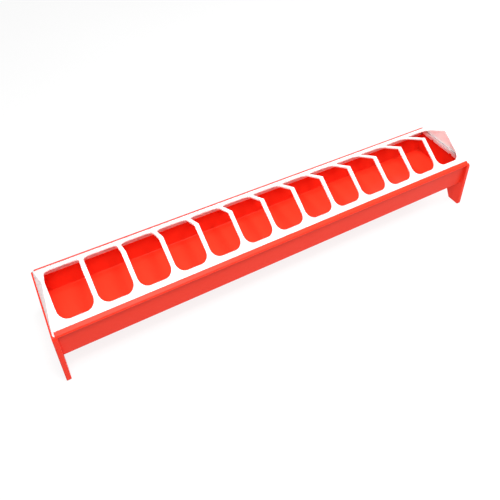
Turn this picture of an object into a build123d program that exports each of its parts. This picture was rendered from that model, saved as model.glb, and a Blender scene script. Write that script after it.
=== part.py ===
"""Trough feeder for chicks and quail: a red trough channel pressed into two splayed end plates,
with a white feeding grille that rests in the mouth of the trough and lifts off for filling.

Frame: X runs along the trough, Y across it with the front at -Y, Z up. The origin is on the floor,
under the middle of the feeder. All sizes are in millimetres.
"""
from build123d import *
import math
import os

# ---- driving dimensions: heights above the floor ----
RIM_HEIGHT = 67.0            # upper edge of the bevelled rim, where the grille meets it
LIP_HEIGHT = 64.2            # top of the end plates
RIDGE_HEIGHT = 89.5          # top of the gable-shaped grille
TROUGH_UNDERSIDE = 31.0

# ---- driving dimensions: trough channel ----
MOUTH_HALF = 37.3            # half the width between the two upper rim edges
LIP_HALF = 41.6              # half the width over the two lips
WALL_OUTER = 39.0            # half the width over the walls
WALL_THICKNESS = 2.2
FLOOR_THICKNESS = 2.0
SEAT_HEIGHT = 64.8           # ledge inside the rim that the grille rests on
CHANNEL_CORNER = 2.5         # outer radius along the two bottom corners
INNER_CORNER = 1.2
BEVEL_FOOT = 64.9            # lower edge of the bevel, above a small step down to the lip
LIP_STEP = 0.6               # width of that step
LIP_TOP = 63.9
LIP_EDGE = 1.0               # height of the lip's outer edge
LIP_RISE = 0.8               # the lip's underside rises this much from the wall to its edge
EDGE_RADIUS = 0.3            # rounding of the lip's outer edges and of the lugs
RIM_INSET = 3.2              # the channel stops this far inside the outer face of an end plate

# ---- driving dimensions: end plates ----
END_HALF = 243.5             # half the length over the end plates, at rim height
SPLAY = 6.5                  # how much further out the feet stand than the rim, at each end
PLATE_DEPTH = 4.6            # depth of the plate's flange
WEB_THICKNESS = 2.2
FLANGE = 2.4                 # width of the raised edge round each pocket
RIB = 3.0                    # solid band between a pocket and the end of the channel
POCKET_CORNER = 2.0
PLATE_TOP_HALF = 41.9
PLATE_TOP_CORNER = 4.5
FOOT_OUTER = 46.5
FOOT_INNER = 30.0
FOOT_OUTER_CORNER = 2.5
FOOT_INNER_CORNER = 1.0
FOOT_EDGE = 0.8              # rounding of the feet's long bottom edges
GAP_TOP_HALF = 12.5          # the gap between the two legs narrows upwards to this
GAP_TOP = 28.5
GAP_CORNER = 7.0
LUG_SPACING = 31.0           # two locating lugs on the inner face of each plate
LUG_SIZE = (1.8, 3.0, 1.6)   # how far a lug stands out, its width and its height
LUG_TOP = 62.9

# ---- driving dimensions: feeding grille ----
OPENINGS = 13
PITCH = 36.1
OPENING_WIDTH = 32.0
OPENING_FRONT = 32.3         # the front edge of the openings is nearer the rim than the rear edge
OPENING_REAR = 27.9
FRONT_CORNER = 9.0
REAR_CORNER = 6.5
SHEET = 1.7                  # thickness of the moulded sheet
HIP_INSET = 9.0              # the ridge stops this far inside the outer face of an end plate
HIP_STEP = 1.0               # and the foot of the leaning end this far
EDGE_GAP = 0.1               # gap between the grille's edge and the rim
SKIRT_GAP = 0.3              # gap between the skirts and the trough walls
SKIRT_THICKNESS = 1.5
SKIRT_BOTTOM = 59.0
END_SKIRT_BOTTOM = 62.0      # the skirts across the two ends are shallower
LEDGE_TOP = 66.1             # flat base band at each end of the grille
LEDGE_REACH = 2.0            # it reaches this far inwards from the end plate's inner face
END_GAP = 0.15               # gap between the grille's underside and what it rests on
MARK_SIZE = (1.5, 3.6, 1.2)  # small sunk mark in each ledge: length, width and depth
MARK_PLACE = 4.5             # how far behind the middle it is
NOTCH_GAP = 0.3              # gap round each locating lug in its notch
GRILLE_CORNER = 4.0          # rounding of the grille's four corners, seen from above

# ---- worked-out sizes ----
WALL_INNER = WALL_OUTER - WALL_THICKNESS
GRILLE_HALF = MOUTH_HALF - EDGE_GAP
ROOF_SLOPE = (RIDGE_HEIGHT - RIM_HEIGHT) / GRILLE_HALF
ROOF_DROP = SHEET * math.sqrt(1 + ROOF_SLOPE ** 2)
SKIRT_OUTER = WALL_INNER - SKIRT_GAP
SKIRT_INNER = SKIRT_OUTER - SKIRT_THICKNESS
BASE_HEIGHT = LIP_HEIGHT + END_GAP
HIP_BASE = END_HALF - HIP_STEP
HIP_LEAN = (HIP_BASE - (END_HALF - HIP_INSET)) / (RIDGE_HEIGHT - BASE_HEIGHT)
HIP_DROP = SHEET * math.sqrt(1 + HIP_LEAN ** 2)
LEDGE_START = END_HALF - PLATE_DEPTH - LEDGE_REACH
LEDGE_END = HIP_BASE - HIP_DROP - HIP_LEAN * (LEDGE_TOP - BASE_HEIGHT)
LIP_START = END_HALF - RIM_INSET + SPLAY * (RIM_HEIGHT - BASE_HEIGHT) / RIM_HEIGHT + END_GAP
FAR = 120.0                  # further across or up than any part of the feeder reaches
NEAR = 0.1                   # an edge is picked by its place to within this


def across(points):
    """Closed face in the YZ plane, from (y, z) points."""
    return make_face(Polyline(*[(0, y, z) for y, z in points], close=True))


def along(face, x_from, x_to):
    """Solid swept along X from a face in the YZ plane."""
    return Pos(x_from, 0, 0) * extrude(face, amount=x_to - x_from, dir=(1, 0, 0))


def both_sides(points, middle=()):
    """Closed outline from (y, z) points of the +Y half, any middle points and their mirror image."""
    return points + list(middle) + [(-y, z) for y, z in reversed(points)]


def block(x_range, y_range, z_range):
    """Box from its lowest and highest corner values."""
    size = [high - low for low, high in (x_range, y_range, z_range)]
    centre = [(high + low) / 2 for low, high in (x_range, y_range, z_range)]
    return Pos(*centre) * Box(*size)


def beyond_splay(offset):
    """Everything further out along +X than the splayed end plane, moved out by offset."""
    def plane_x(z):
        return END_HALF + offset + SPLAY * (RIM_HEIGHT - z) / RIM_HEIGHT
    corners = [(plane_x(-FAR), -FAR), (plane_x(FAR), FAR), (2 * END_HALF, FAR), (2 * END_HALF, -FAR)]
    face = make_face(Polyline(*[(x, -FAR, z) for x, z in corners], close=True))
    return extrude(face, amount=2 * FAR, dir=(0, 1, 0))


def beyond_hip(inwards):
    """Everything further out along +X than the grille's leaning end plane, moved in by inwards."""
    def plane_x(z):
        return HIP_BASE - inwards - HIP_LEAN * (z - BASE_HEIGHT)
    corners = [(plane_x(-FAR), -FAR), (plane_x(FAR), FAR), (2 * END_HALF, FAR), (2 * END_HALF, -FAR)]
    face = make_face(Polyline(*[(x, -FAR, z) for x, z in corners], close=True))
    return extrude(face, amount=2 * FAR, dir=(0, 1, 0))


def opposite(solid):
    """The same shape at the other end of the feeder."""
    return mirror(solid, about=Plane.YZ)


def round_edges(solid, direction, radius, wanted):
    """Fillet the edges parallel to direction whose centre passes the wanted test."""
    edges = [edge for edge in solid.edges().filter_by(direction) if wanted(edge.center())]
    return fillet(edges, radius)


def make_channel():
    """Flat-bottomed trough channel with a bevelled rim and a stepped lip along both walls."""
    floor_top = TROUGH_UNDERSIDE + FLOOR_THICKNESS
    outline = both_sides([
        (WALL_OUTER, TROUGH_UNDERSIDE),
        (WALL_OUTER, LIP_TOP - LIP_EDGE - LIP_RISE),
        (LIP_HALF, LIP_TOP - LIP_EDGE),
        (LIP_HALF, LIP_TOP),
        (LIP_HALF - LIP_STEP, LIP_TOP),
        (LIP_HALF - LIP_STEP, BEVEL_FOOT),
        (MOUTH_HALF, RIM_HEIGHT),
        (MOUTH_HALF, SEAT_HEIGHT),
        (WALL_INNER, SEAT_HEIGHT),
        (WALL_INNER, floor_top),
    ])
    channel = along(across(outline), -2 * END_HALF, 2 * END_HALF)
    channel = round_edges(channel, Axis.X, CHANNEL_CORNER, lambda c: c.Z < TROUGH_UNDERSIDE + NEAR)
    channel = round_edges(channel, Axis.X, INNER_CORNER, lambda c: abs(c.Z - floor_top) < NEAR)
    channel = round_edges(channel, Axis.X, EDGE_RADIUS, lambda c: abs(c.Y) > LIP_HALF - NEAR)
    end_cut = beyond_splay(-RIM_INSET)
    return channel - end_cut - opposite(end_cut)


def make_end_plate(channel):
    """End plate at +X: a web with a raised edge, two splayed legs and a socket for the channel."""
    def side(z):
        return FOOT_OUTER + (PLATE_TOP_HALF - FOOT_OUTER) * z / LIP_HEIGHT

    def gap(z):
        return FOOT_INNER + (GAP_TOP_HALF - FOOT_INNER) * z / GAP_TOP

    below_floor = -FLANGE
    outline = both_sides([
        (side(LIP_HEIGHT), LIP_HEIGHT),
        (side(below_floor), below_floor),
        (gap(below_floor), below_floor),
        (gap(GAP_TOP), GAP_TOP),
    ])
    x_range = (0, 2 * END_HALF)
    middle_of_foot = (FOOT_OUTER + FOOT_INNER) / 2
    plate = along(across(outline), *x_range)
    plate = round_edges(plate, Axis.X, PLATE_TOP_CORNER, lambda c: c.Z > LIP_HEIGHT - NEAR)
    plate = round_edges(plate, Axis.X, GAP_CORNER, lambda c: abs(c.Z - GAP_TOP) < NEAR)
    plate -= block(x_range, (-FAR, FAR), (-FAR, 0))
    plate = round_edges(plate, Axis.X, FOOT_OUTER_CORNER, lambda c: c.Z < NEAR and abs(c.Y) > middle_of_foot)
    plate = round_edges(plate, Axis.X, FOOT_INNER_CORNER, lambda c: c.Z < NEAR and abs(c.Y) < middle_of_foot)
    plate -= beyond_splay(0)

    # Pockets in the outer face: one behind the trough's end, one down each leg.
    panel = [
        (WALL_INNER - RIB, TROUGH_UNDERSIDE + FLOOR_THICKNESS + RIB),
        (WALL_INNER - RIB, LIP_HEIGHT - FLANGE - RIB),
    ]
    low, high = FLANGE, TROUGH_UNDERSIDE - RIB
    inner_flange = FLANGE * math.hypot(1, (FOOT_INNER - GAP_TOP_HALF) / GAP_TOP)
    leg = [
        (gap(low) + inner_flange, low),
        (side(low) - FLANGE, low),
        (side(high) - FLANGE, high),
        (gap(high) + inner_flange, high),
    ]
    pockets = along(across(both_sides(panel)), *x_range)
    for outline_points in (leg, [(-y, z) for y, z in leg]):
        pockets += along(across(outline_points), *x_range)
    pockets = fillet(pockets.edges().filter_by(Axis.X), POCKET_CORNER)
    recess_floor = WEB_THICKNESS - PLATE_DEPTH
    plate -= pockets & beyond_splay(recess_floor)

    # The inner face is flat but for two lugs, and the channel's end sits in it.
    inner_side = beyond_splay(-PLATE_DEPTH)
    plate = plate & inner_side
    stand_out, width, height = LUG_SIZE
    inner_face = END_HALF - PLATE_DEPTH
    for y in (-LUG_SPACING / 2, LUG_SPACING / 2):
        lug = block(
            (inner_face - stand_out, inner_face + WEB_THICKNESS),
            (y - width / 2, y + width / 2),
            (LUG_TOP - height, LUG_TOP),
        )
        tip = lug.edges().filter_by(Axis.Y).group_by(Axis.X)[0]
        plate += fillet(tip, EDGE_RADIUS)
    plate = round_edges(plate, Axis.Y, FOOT_EDGE, lambda c: c.Z < NEAR)
    return plate - channel


def make_opening():
    """Cutter for one feeding opening, upright, centred on X = 0."""
    length = OPENING_FRONT + OPENING_REAR
    centre = Pos(0, (OPENING_REAR - OPENING_FRONT) / 2, RIDGE_HEIGHT)
    cutter = centre * Box(OPENING_WIDTH, length, RIDGE_HEIGHT)
    cutter = round_edges(cutter, Axis.Z, FRONT_CORNER, lambda c: c.Y < 0)
    return round_edges(cutter, Axis.Z, REAR_CORNER, lambda c: c.Y > 0)


def make_grille():
    """Gable-shaped grille: leaning ends, rounded openings, skirts and a ledge at each end."""
    grille = along(across(both_sides(
        [(GRILLE_HALF, SEAT_HEIGHT + EDGE_GAP), (GRILLE_HALF, RIM_HEIGHT)],
        [(0, RIDGE_HEIGHT)],
    )), -END_HALF, END_HALF)

    # Below the rim: the foot of each ledge, the lips over the rim's ends and the skirts.
    ledge_range = (LEDGE_START, END_HALF)
    foot = block(ledge_range, (-SKIRT_OUTER, SKIRT_OUTER), (BASE_HEIGHT, RIM_HEIGHT))
    lip_outline = both_sides([(LIP_HALF - EDGE_GAP, BASE_HEIGHT), (GRILLE_HALF, RIM_HEIGHT)])
    lip = along(across(lip_outline), LIP_START, END_HALF)
    end_skirt = block(
        (LEDGE_START, LEDGE_START + SKIRT_THICKNESS),
        (-SKIRT_OUTER, SKIRT_OUTER),
        (END_SKIRT_BOTTOM, RIM_HEIGHT),
    )
    end_base = foot + lip + end_skirt
    grille += [end_base, opposite(end_base)]
    for y_range in ((-SKIRT_OUTER, -SKIRT_INNER), (SKIRT_INNER, SKIRT_OUTER)):
        grille += block((-LEDGE_START, LEDGE_START), y_range, (SKIRT_BOTTOM, RIM_HEIGHT))

    # The hollow under the roof stops at the end panels, and at the ledges below them.
    underside = RIDGE_HEIGHT - ROOF_DROP
    hollow = along(across(both_sides(
        [(SKIRT_INNER, 0), (SKIRT_INNER, underside - ROOF_SLOPE * SKIRT_INNER)],
        [(0, underside)],
    )), -END_HALF, END_HALF)
    ledge = block(ledge_range, (-FAR, FAR), (0, LEDGE_TOP))
    end_solid = beyond_hip(HIP_DROP) + ledge
    grille -= hollow - end_solid - opposite(end_solid)
    outside = beyond_hip(0)
    grille -= outside + opposite(outside)
    plan = Pos(0, 0, RIM_HEIGHT) * Box(2 * HIP_BASE, 2 * (LIP_HALF - EDGE_GAP), RIM_HEIGHT)
    grille = grille & fillet(plan.edges().filter_by(Axis.Z), GRILLE_CORNER)

    # Each ledge has a sunk mark, and each end skirt has a notch for each locating lug.
    mark_length, mark_width, mark_depth = MARK_SIZE
    mark_end = LEDGE_END - NOTCH_GAP
    cuts = block(
        (mark_end - mark_length, mark_end),
        (MARK_PLACE - mark_width / 2, MARK_PLACE + mark_width / 2),
        (LEDGE_TOP - mark_depth, RIM_HEIGHT),
    )
    half_notch = LUG_SIZE[1] / 2 + NOTCH_GAP
    for y in (-LUG_SPACING / 2, LUG_SPACING / 2):
        cuts += block(
            (LEDGE_START - NOTCH_GAP, LEDGE_START + SKIRT_THICKNESS + NOTCH_GAP),
            (y - half_notch, y + half_notch),
            (0, LUG_TOP + NOTCH_GAP),
        )
    grille -= cuts + opposite(cuts)

    opening = make_opening()
    for index in range(OPENINGS):
        grille -= Pos((index - (OPENINGS - 1) / 2) * PITCH, 0, 0) * opening
    return grille


trough_channel = make_channel()
right_end_plate = make_end_plate(trough_channel)
parts = {
    "trough_channel": trough_channel,
    "right_end_plate": right_end_plate,
    "left_end_plate": opposite(right_end_plate),
    "feeding_grille": make_grille(),
}

os.makedirs("parts", exist_ok=True)
for name, part in parts.items():
    export_step(part, f"parts/{name}.step")
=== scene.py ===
"""Looks of the trough feeder: camera, plain studio light and two moulded plastics.

Every node of the frame keeps its own shape. This script softens the edges and adds the materials.
Lengths are in metres and angles in degrees, unless a comment says otherwise.
"""
import math

import bpy
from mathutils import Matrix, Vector

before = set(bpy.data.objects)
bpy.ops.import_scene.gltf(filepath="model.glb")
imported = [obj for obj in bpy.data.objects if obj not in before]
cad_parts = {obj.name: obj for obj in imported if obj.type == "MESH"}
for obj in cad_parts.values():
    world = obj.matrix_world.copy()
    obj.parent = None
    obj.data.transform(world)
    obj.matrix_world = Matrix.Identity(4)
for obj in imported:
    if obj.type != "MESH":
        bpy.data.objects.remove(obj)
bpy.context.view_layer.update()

MM = 0.001
RED_NODES = ("trough_channel", "left_end_plate", "right_end_plate")
WHITE_NODES = ("feeding_grille",)

# ---- camera ----
CAMERA_PLACE = (-0.1951, -0.3059, 0.4263)
CAMERA_TURN = (41.88, -1.32, -29.79)
SENSOR_WIDTH = 36.0           # millimetres, as Blender takes it
FOCAL_RATIO = 0.9612          # focal length over image width
SHIFT = (-0.0359, -0.0256)
NEAREST_SEEN = 0.01

# ---- surface of the mouldings: noise scales are features per metre ----
LENGTHWAYS = (0.25, 1, 1)     # marks four times as long along the trough as across it
EVEN = (1, 1, 1)
DRIFT_SCALE = 26.0            # slow drift of the colour
SMEAR_SCALE = 60.0            # uneven gloss
SMEAR_DETAIL = 5.0
SMEAR_CONTRAST = 0.6
GLOSSIER, DULLER = 0.07, 0.09  # how far the smears take the roughness down and up
WAVE_SCALE = 38.0             # shallow waves in the walls
WAVE_HEIGHT = 0.6 * MM
GRAIN_SCALE = 2600.0          # fine satin grain
GRAIN_DETAIL = 2.0
GRAIN_HEIGHT = 0.03 * MM
BUMP_STRENGTH = 0.5
PLASTIC_IOR = 1.49

# ---- softened edges ----
RED_EDGE = 0.45 * MM
WHITE_EDGE = 0.35 * MM
EDGE_SEGMENTS = 2
SHARP_ANGLE = 28              # edges that turn more than this are softened
WELD_DISTANCE = 0.01 * MM

# ---- floor and light ----
FLOOR_SIZE = 12
FLOOR_TONES = ((0.09, 0.09, 0.09), (0.11, 0.11, 0.11))
FLOOR_PATCHES = 3.0           # noise scale of the two tones
FLOOR_ROUGHNESS = 0.8
FLOOR_GLOW = 0.86             # keeps the floor almost white and its shadows faint
WORLD_STRENGTH = 0.18
LIGHTS = {                    # name: place, what it points at, size, power in watts
    "overhead": ((0.05, -0.20, 1.15), (0, 0, 0), (0.25, 0.5), 14.5),
    "camera_side": ((-0.22, -0.30, 0.75), (0.10, 0, 0.05), (0.2, 0.2), 3.4),
    "right": ((0.95, 0.25, 0.55), (0.15, 0, 0.05), (0.5, 0.5), 8.0),
    "front": ((0.80, -1.00, 0.50), (0, 0, 0.05), (0.9, 0.7), 3.2),
}


def add_camera():
    """Camera at the viewing angle, with a small shift for the framing."""
    data = bpy.data.cameras.new("camera")
    data.sensor_width = SENSOR_WIDTH
    data.lens = SENSOR_WIDTH * FOCAL_RATIO
    data.shift_x, data.shift_y = SHIFT
    data.clip_start = NEAREST_SEEN
    camera = bpy.data.objects.new("camera", data)
    camera.location = CAMERA_PLACE
    camera.rotation_euler = [math.radians(angle) for angle in CAMERA_TURN]
    bpy.context.collection.objects.link(camera)
    bpy.context.scene.camera = camera


# ---- node helpers ----
def new_material(name):
    """A node material: the material, its node tree and its shader."""
    material = bpy.data.materials.new(name)
    material.use_nodes = True
    tree = material.node_tree
    return material, tree, tree.nodes["Principled BSDF"]


def add_node(tree, kind, **inputs):
    """New node, with input sockets set by name, either to a value or from another socket."""
    node = tree.nodes.new(kind)
    for name, value in inputs.items():
        socket = node.inputs[name.replace("_", " ")]
        if isinstance(value, bpy.types.NodeSocket):
            tree.links.new(value, socket)
        else:
            socket.default_value = value
    return node


def noise(tree, vector, scale, detail=3.0, roughness=0.5):
    """Noise from 0 to 1 at each point."""
    node = add_node(
        tree, "ShaderNodeTexNoise", Vector=vector, Scale=scale, Detail=detail, Roughness=roughness
    )
    return node.outputs["Fac"]


def spread(tree, value, low, high):
    """Map a 0 to 1 value to low to high."""
    node = add_node(tree, "ShaderNodeMapRange", Value=value, To_Min=low, To_Max=high)
    return node.outputs["Result"]


def stretched(tree, factors):
    """Object coordinates, multiplied by factors."""
    coordinates = tree.nodes.new("ShaderNodeTexCoord").outputs["Object"]
    node = add_node(tree, "ShaderNodeMapping", Vector=coordinates, Scale=factors)
    return node.outputs["Vector"]


def mix_colours(tree, factor, first, second):
    """Colour between first and second, by a 0 to 1 factor."""
    node = tree.nodes.new("ShaderNodeMix")
    node.data_type = "RGBA"
    tree.links.new(factor, node.inputs["Factor"])
    node.inputs["A"].default_value = (*first, 1)
    node.inputs["B"].default_value = (*second, 1)
    return node.outputs["Result"]


def bump(tree, height, distance, under=None):
    """Normal raised by height, on top of the normal under it, if there is one."""
    node = add_node(tree, "ShaderNodeBump", Height=height, Distance=distance, Strength=BUMP_STRENGTH)
    if under is not None:
        tree.links.new(under, node.inputs["Normal"])
    return node.outputs["Normal"]


def moulded_plastic(name, colours, roughness, gloss, scatter, scatter_depth, scatter_reach):
    """Injection-moulded plastic: faint colour drift, uneven satin gloss, shallow waves and fine grain."""
    material, tree, shader = new_material(name)
    even = stretched(tree, EVEN)
    lengthways = stretched(tree, LENGTHWAYS)
    drift = noise(tree, lengthways, DRIFT_SCALE)
    tree.links.new(mix_colours(tree, drift, *colours), shader.inputs["Base Color"])
    smears = noise(tree, lengthways, SMEAR_SCALE, SMEAR_DETAIL, SMEAR_CONTRAST)
    uneven = spread(tree, smears, roughness - GLOSSIER, roughness + DULLER)
    tree.links.new(uneven, shader.inputs["Roughness"])
    waves = bump(tree, noise(tree, lengthways, WAVE_SCALE, 1.0), WAVE_HEIGHT)
    grain = bump(tree, noise(tree, even, GRAIN_SCALE, GRAIN_DETAIL), GRAIN_HEIGHT, under=waves)
    tree.links.new(grain, shader.inputs["Normal"])
    shader.inputs["IOR"].default_value = PLASTIC_IOR
    shader.inputs["Specular IOR Level"].default_value = gloss
    shader.inputs["Subsurface Weight"].default_value = scatter
    shader.inputs["Subsurface Radius"].default_value = scatter_reach
    shader.inputs["Subsurface Scale"].default_value = scatter_depth
    return material


def dress(names, material):
    """Give the nodes their material."""
    for name in names:
        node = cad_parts[name]
        node.data.materials.clear()
        node.data.materials.append(material)


def soften_edges(names, width):
    """Small moulded radius on every sharp edge, with smooth shading."""
    for name in names:
        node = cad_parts[name]
        weld = node.modifiers.new("weld", "WELD")
        weld.merge_threshold = WELD_DISTANCE
        bevel = node.modifiers.new("edge_radius", "BEVEL")
        bevel.width = width
        bevel.segments = EDGE_SEGMENTS
        bevel.limit_method = "ANGLE"
        bevel.angle_limit = math.radians(SHARP_ANGLE)
        bevel.harden_normals = True


# ---- floor and light ----
def add_floor():
    """Plain white floor that glows a little."""
    bpy.ops.mesh.primitive_plane_add(size=FLOOR_SIZE, location=(0, 0, 0))
    floor = bpy.context.object
    floor.name = "floor"
    material, tree, shader = new_material("floor")
    patches = noise(tree, stretched(tree, EVEN), FLOOR_PATCHES)
    tree.links.new(mix_colours(tree, patches, *FLOOR_TONES), shader.inputs["Base Color"])
    shader.inputs["Roughness"].default_value = FLOOR_ROUGHNESS
    shader.inputs["Emission Color"].default_value = (1, 1, 1, 1)
    shader.inputs["Emission Strength"].default_value = FLOOR_GLOW
    floor.data.materials.append(material)


def add_light(name, place, target, size, power):
    """Rectangular soft light, turned towards its target."""
    data = bpy.data.lights.new(name, "AREA")
    data.shape = "RECTANGLE"
    data.size, data.size_y = size
    data.energy = power
    light = bpy.data.objects.new(name, data)
    light.location = place
    light.rotation_euler = (Vector(target) - Vector(place)).to_track_quat("-Z", "Y").to_euler()
    bpy.context.collection.objects.link(light)


def add_studio():
    """Even white surroundings and the soft lights."""
    world = bpy.data.worlds.new("studio")
    world.use_nodes = True
    background = world.node_tree.nodes["Background"]
    background.inputs["Color"].default_value = (1, 1, 1, 1)
    background.inputs["Strength"].default_value = WORLD_STRENGTH
    bpy.context.scene.world = world
    for name, settings in LIGHTS.items():
        add_light(name, *settings)
    bpy.context.scene.view_settings.view_transform = "Standard"


red = moulded_plastic(
    "red_plastic",
    colours=((0.82, 0.036, 0.014), (0.79, 0.030, 0.011)),
    roughness=0.42,
    gloss=0.14,
    scatter=0.05,
    scatter_depth=1 * MM,
    scatter_reach=(1.0, 0.3, 0.15),
)
white = moulded_plastic(
    "white_plastic",
    colours=((0.94, 0.94, 0.93), (0.92, 0.92, 0.91)),
    roughness=0.34,
    gloss=0.40,
    scatter=0.9,
    scatter_depth=6 * MM,
    scatter_reach=(1.0, 0.93, 0.90),
)
dress(RED_NODES, red)
dress(WHITE_NODES, white)
soften_edges(RED_NODES, RED_EDGE)
soften_edges(WHITE_NODES, WHITE_EDGE)
add_camera()
add_floor()
add_studio()
